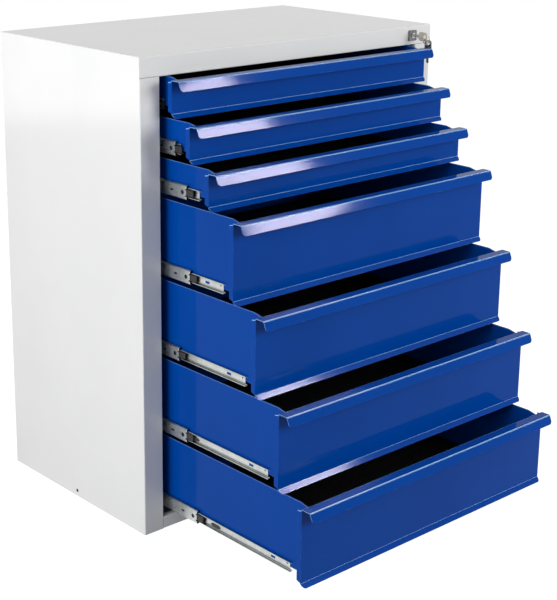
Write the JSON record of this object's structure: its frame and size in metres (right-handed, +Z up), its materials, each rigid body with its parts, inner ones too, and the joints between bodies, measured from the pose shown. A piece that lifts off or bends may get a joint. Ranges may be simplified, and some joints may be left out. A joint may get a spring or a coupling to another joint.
{
  "type": "drawer cabinet",
  "caption": "Free-standing lockable steel drawer cabinet with folded pull lips along the fronts, telescopic ball slides and a cylinder lock with hanging keys.",
  "frame": {"origin": "centre of the casing's footprint, on the floor", "axes": "+X to the right of someone facing the fronts, -Y out of the fronts (drawers open along -Y), +Z up"},
  "size_m": [0.83, 0.9315, 1],
  "materials": {
    "casing_paint": "light grey powder coat, satin",
    "drawer_paint": "deep blue powder coat, satin",
    "zinc_steel": "bright zinc plate",
    "black_plastic": "moulded",
    "bright_chrome": "polished",
    "key_nickel": "nickel-plated brass"
  },
  "bodies": {
    "casing": {"side_panel_left": "casing_paint", "side_panel_right": "casing_paint", "top_panel": "casing_paint", "bottom_panel": "casing_paint", "back_panel": "casing_paint", "upright_front_left": "casing_paint", "upright_front_right": "casing_paint", "upright_rear_left": "casing_paint", "upright_rear_right": "casing_paint", "cabinet_members": "zinc_steel", "lock_housing": "bright_chrome", "lock_bar_guides": "zinc_steel"},
    "drawer_1": {"drawer_front_1": "drawer_paint", "drawer_box_1": "drawer_paint", "drawer_members_1": "zinc_steel", "release_levers_1": "black_plastic"},
    "slide_1": {"middle_members_1": "zinc_steel", "slide_bumpers_1": "black_plastic"},
    "drawer_2": {"drawer_front_2": "drawer_paint", "drawer_box_2": "drawer_paint", "drawer_members_2": "zinc_steel", "release_levers_2": "black_plastic"},
    "slide_2": {"middle_members_2": "zinc_steel", "slide_bumpers_2": "black_plastic"},
    "drawer_3": {"drawer_front_3": "drawer_paint", "drawer_box_3": "drawer_paint", "drawer_members_3": "zinc_steel", "release_levers_3": "black_plastic"},
    "slide_3": {"middle_members_3": "zinc_steel", "slide_bumpers_3": "black_plastic"},
    "drawer_4": {"drawer_front_4": "drawer_paint", "drawer_box_4": "drawer_paint", "drawer_members_4": "zinc_steel", "release_levers_4": "black_plastic"},
    "slide_4": {"middle_members_4": "zinc_steel", "slide_bumpers_4": "black_plastic"},
    "drawer_5": {"drawer_front_5": "drawer_paint", "drawer_box_5": "drawer_paint", "drawer_members_5": "zinc_steel", "release_levers_5": "black_plastic"},
    "slide_5": {"middle_members_5": "zinc_steel", "slide_bumpers_5": "black_plastic"},
    "drawer_6": {"drawer_front_6": "drawer_paint", "drawer_box_6": "drawer_paint", "drawer_members_6": "zinc_steel", "release_levers_6": "black_plastic"},
    "slide_6": {"middle_members_6": "zinc_steel", "slide_bumpers_6": "black_plastic"},
    "drawer_7": {"drawer_front_7": "drawer_paint", "drawer_box_7": "drawer_paint", "drawer_members_7": "zinc_steel", "release_levers_7": "black_plastic"},
    "slide_7": {"middle_members_7": "zinc_steel", "slide_bumpers_7": "black_plastic"},
    "key": {"lock_cylinder": "bright_chrome", "lock_cam": "zinc_steel", "lock_key": "key_nickel"},
    "ring": {"key_ring": "bright_chrome"},
    "hanging_key": {"spare_key": "key_nickel"},
    "bar": {"lock_bar": "zinc_steel"}
  },
  "joints": [
    {"name": "drawer_1_pull", "type": "slide", "parent": "casing", "child": "drawer_1", "axis": [0, -1, 0], "range_m": [-0.032, 0.393]},
    {"name": "slide_1_travel", "type": "slide", "parent": "casing", "child": "slide_1", "axis": [0, -1, 0], "range_m": [-0.016, 0.1965]},
    {"name": "drawer_2_pull", "type": "slide", "parent": "casing", "child": "drawer_2", "axis": [0, -1, 0], "range_m": [-0.086, 0.339]},
    {"name": "slide_2_travel", "type": "slide", "parent": "casing", "child": "slide_2", "axis": [0, -1, 0], "range_m": [-0.0516, 0.2034]},
    {"name": "drawer_3_pull", "type": "slide", "parent": "casing", "child": "drawer_3", "axis": [0, -1, 0], "range_m": [-0.142, 0.283]},
    {"name": "slide_3_travel", "type": "slide", "parent": "casing", "child": "slide_3", "axis": [0, -1, 0], "range_m": [-0.0852, 0.1698]},
    {"name": "drawer_4_pull", "type": "slide", "parent": "casing", "child": "drawer_4", "axis": [0, -1, 0], "range_m": [-0.214, 0.211]},
    {"name": "slide_4_travel", "type": "slide", "parent": "casing", "child": "slide_4", "axis": [0, -1, 0], "range_m": [-0.107, 0.1055]},
    {"name": "drawer_5_pull", "type": "slide", "parent": "casing", "child": "drawer_5", "axis": [0, -1, 0], "range_m": [-0.279, 0.146]},
    {"name": "slide_5_travel", "type": "slide", "parent": "casing", "child": "slide_5", "axis": [0, -1, 0], "range_m": [-0.093, 0.04867]},
    {"name": "drawer_6_pull", "type": "slide", "parent": "casing", "child": "drawer_6", "axis": [0, -1, 0], "range_m": [-0.346, 0.079]},
    {"name": "slide_6_travel", "type": "slide", "parent": "casing", "child": "slide_6", "axis": [0, -1, 0], "range_m": [-0.11534, 0.02634]},
    {"name": "drawer_7_pull", "type": "slide", "parent": "casing", "child": "drawer_7", "axis": [0, -1, 0], "range_m": [-0.412, 0.013]},
    {"name": "slide_7_travel", "type": "slide", "parent": "casing", "child": "slide_7", "axis": [0, -1, 0], "range_m": [-0.13734, 0.00434]},
    {"name": "key_turn", "type": "hinge", "parent": "casing", "child": "key", "pos_m": [0.354, -0.245, 0.979], "axis": [0, -1, 0], "range_deg": [0, 90]},
    {"name": "lock_bar_lift", "type": "slide", "parent": "casing", "child": "bar", "axis": [0, 0, 1], "range_m": [0, 0.01202]},
    {"name": "ring_swing", "type": "hinge", "parent": "key", "child": "ring", "pos_m": [0.354, -0.283, 0.979], "axis": [0, -1, 0], "range_deg": [-90, 0]},
    {"name": "spare_key_swing", "type": "hinge", "parent": "ring", "child": "hanging_key", "pos_m": [0.367, -0.283, 0.964], "axis": [1, 0, 0], "range_deg": [-30, 30]}
  ],
  "couplings": [
    {"joint": "slide_1_travel", "follows": "drawer_1_pull", "ratio": 0.5},
    {"joint": "slide_2_travel", "follows": "drawer_2_pull", "ratio": 0.6},
    {"joint": "slide_3_travel", "follows": "drawer_3_pull", "ratio": 0.6},
    {"joint": "slide_4_travel", "follows": "drawer_4_pull", "ratio": 0.5},
    {"joint": "slide_5_travel", "follows": "drawer_5_pull", "ratio": 0.33333},
    {"joint": "slide_6_travel", "follows": "drawer_6_pull", "ratio": 0.33333},
    {"joint": "slide_7_travel", "follows": "drawer_7_pull", "ratio": 0.33333},
    {"joint": "key_turn", "follows": "lock_bar_lift", "rad_per_m": 130.67},
    {"joint": "ring_swing", "follows": "lock_bar_lift", "rad_per_m": -130.67}
  ]
}
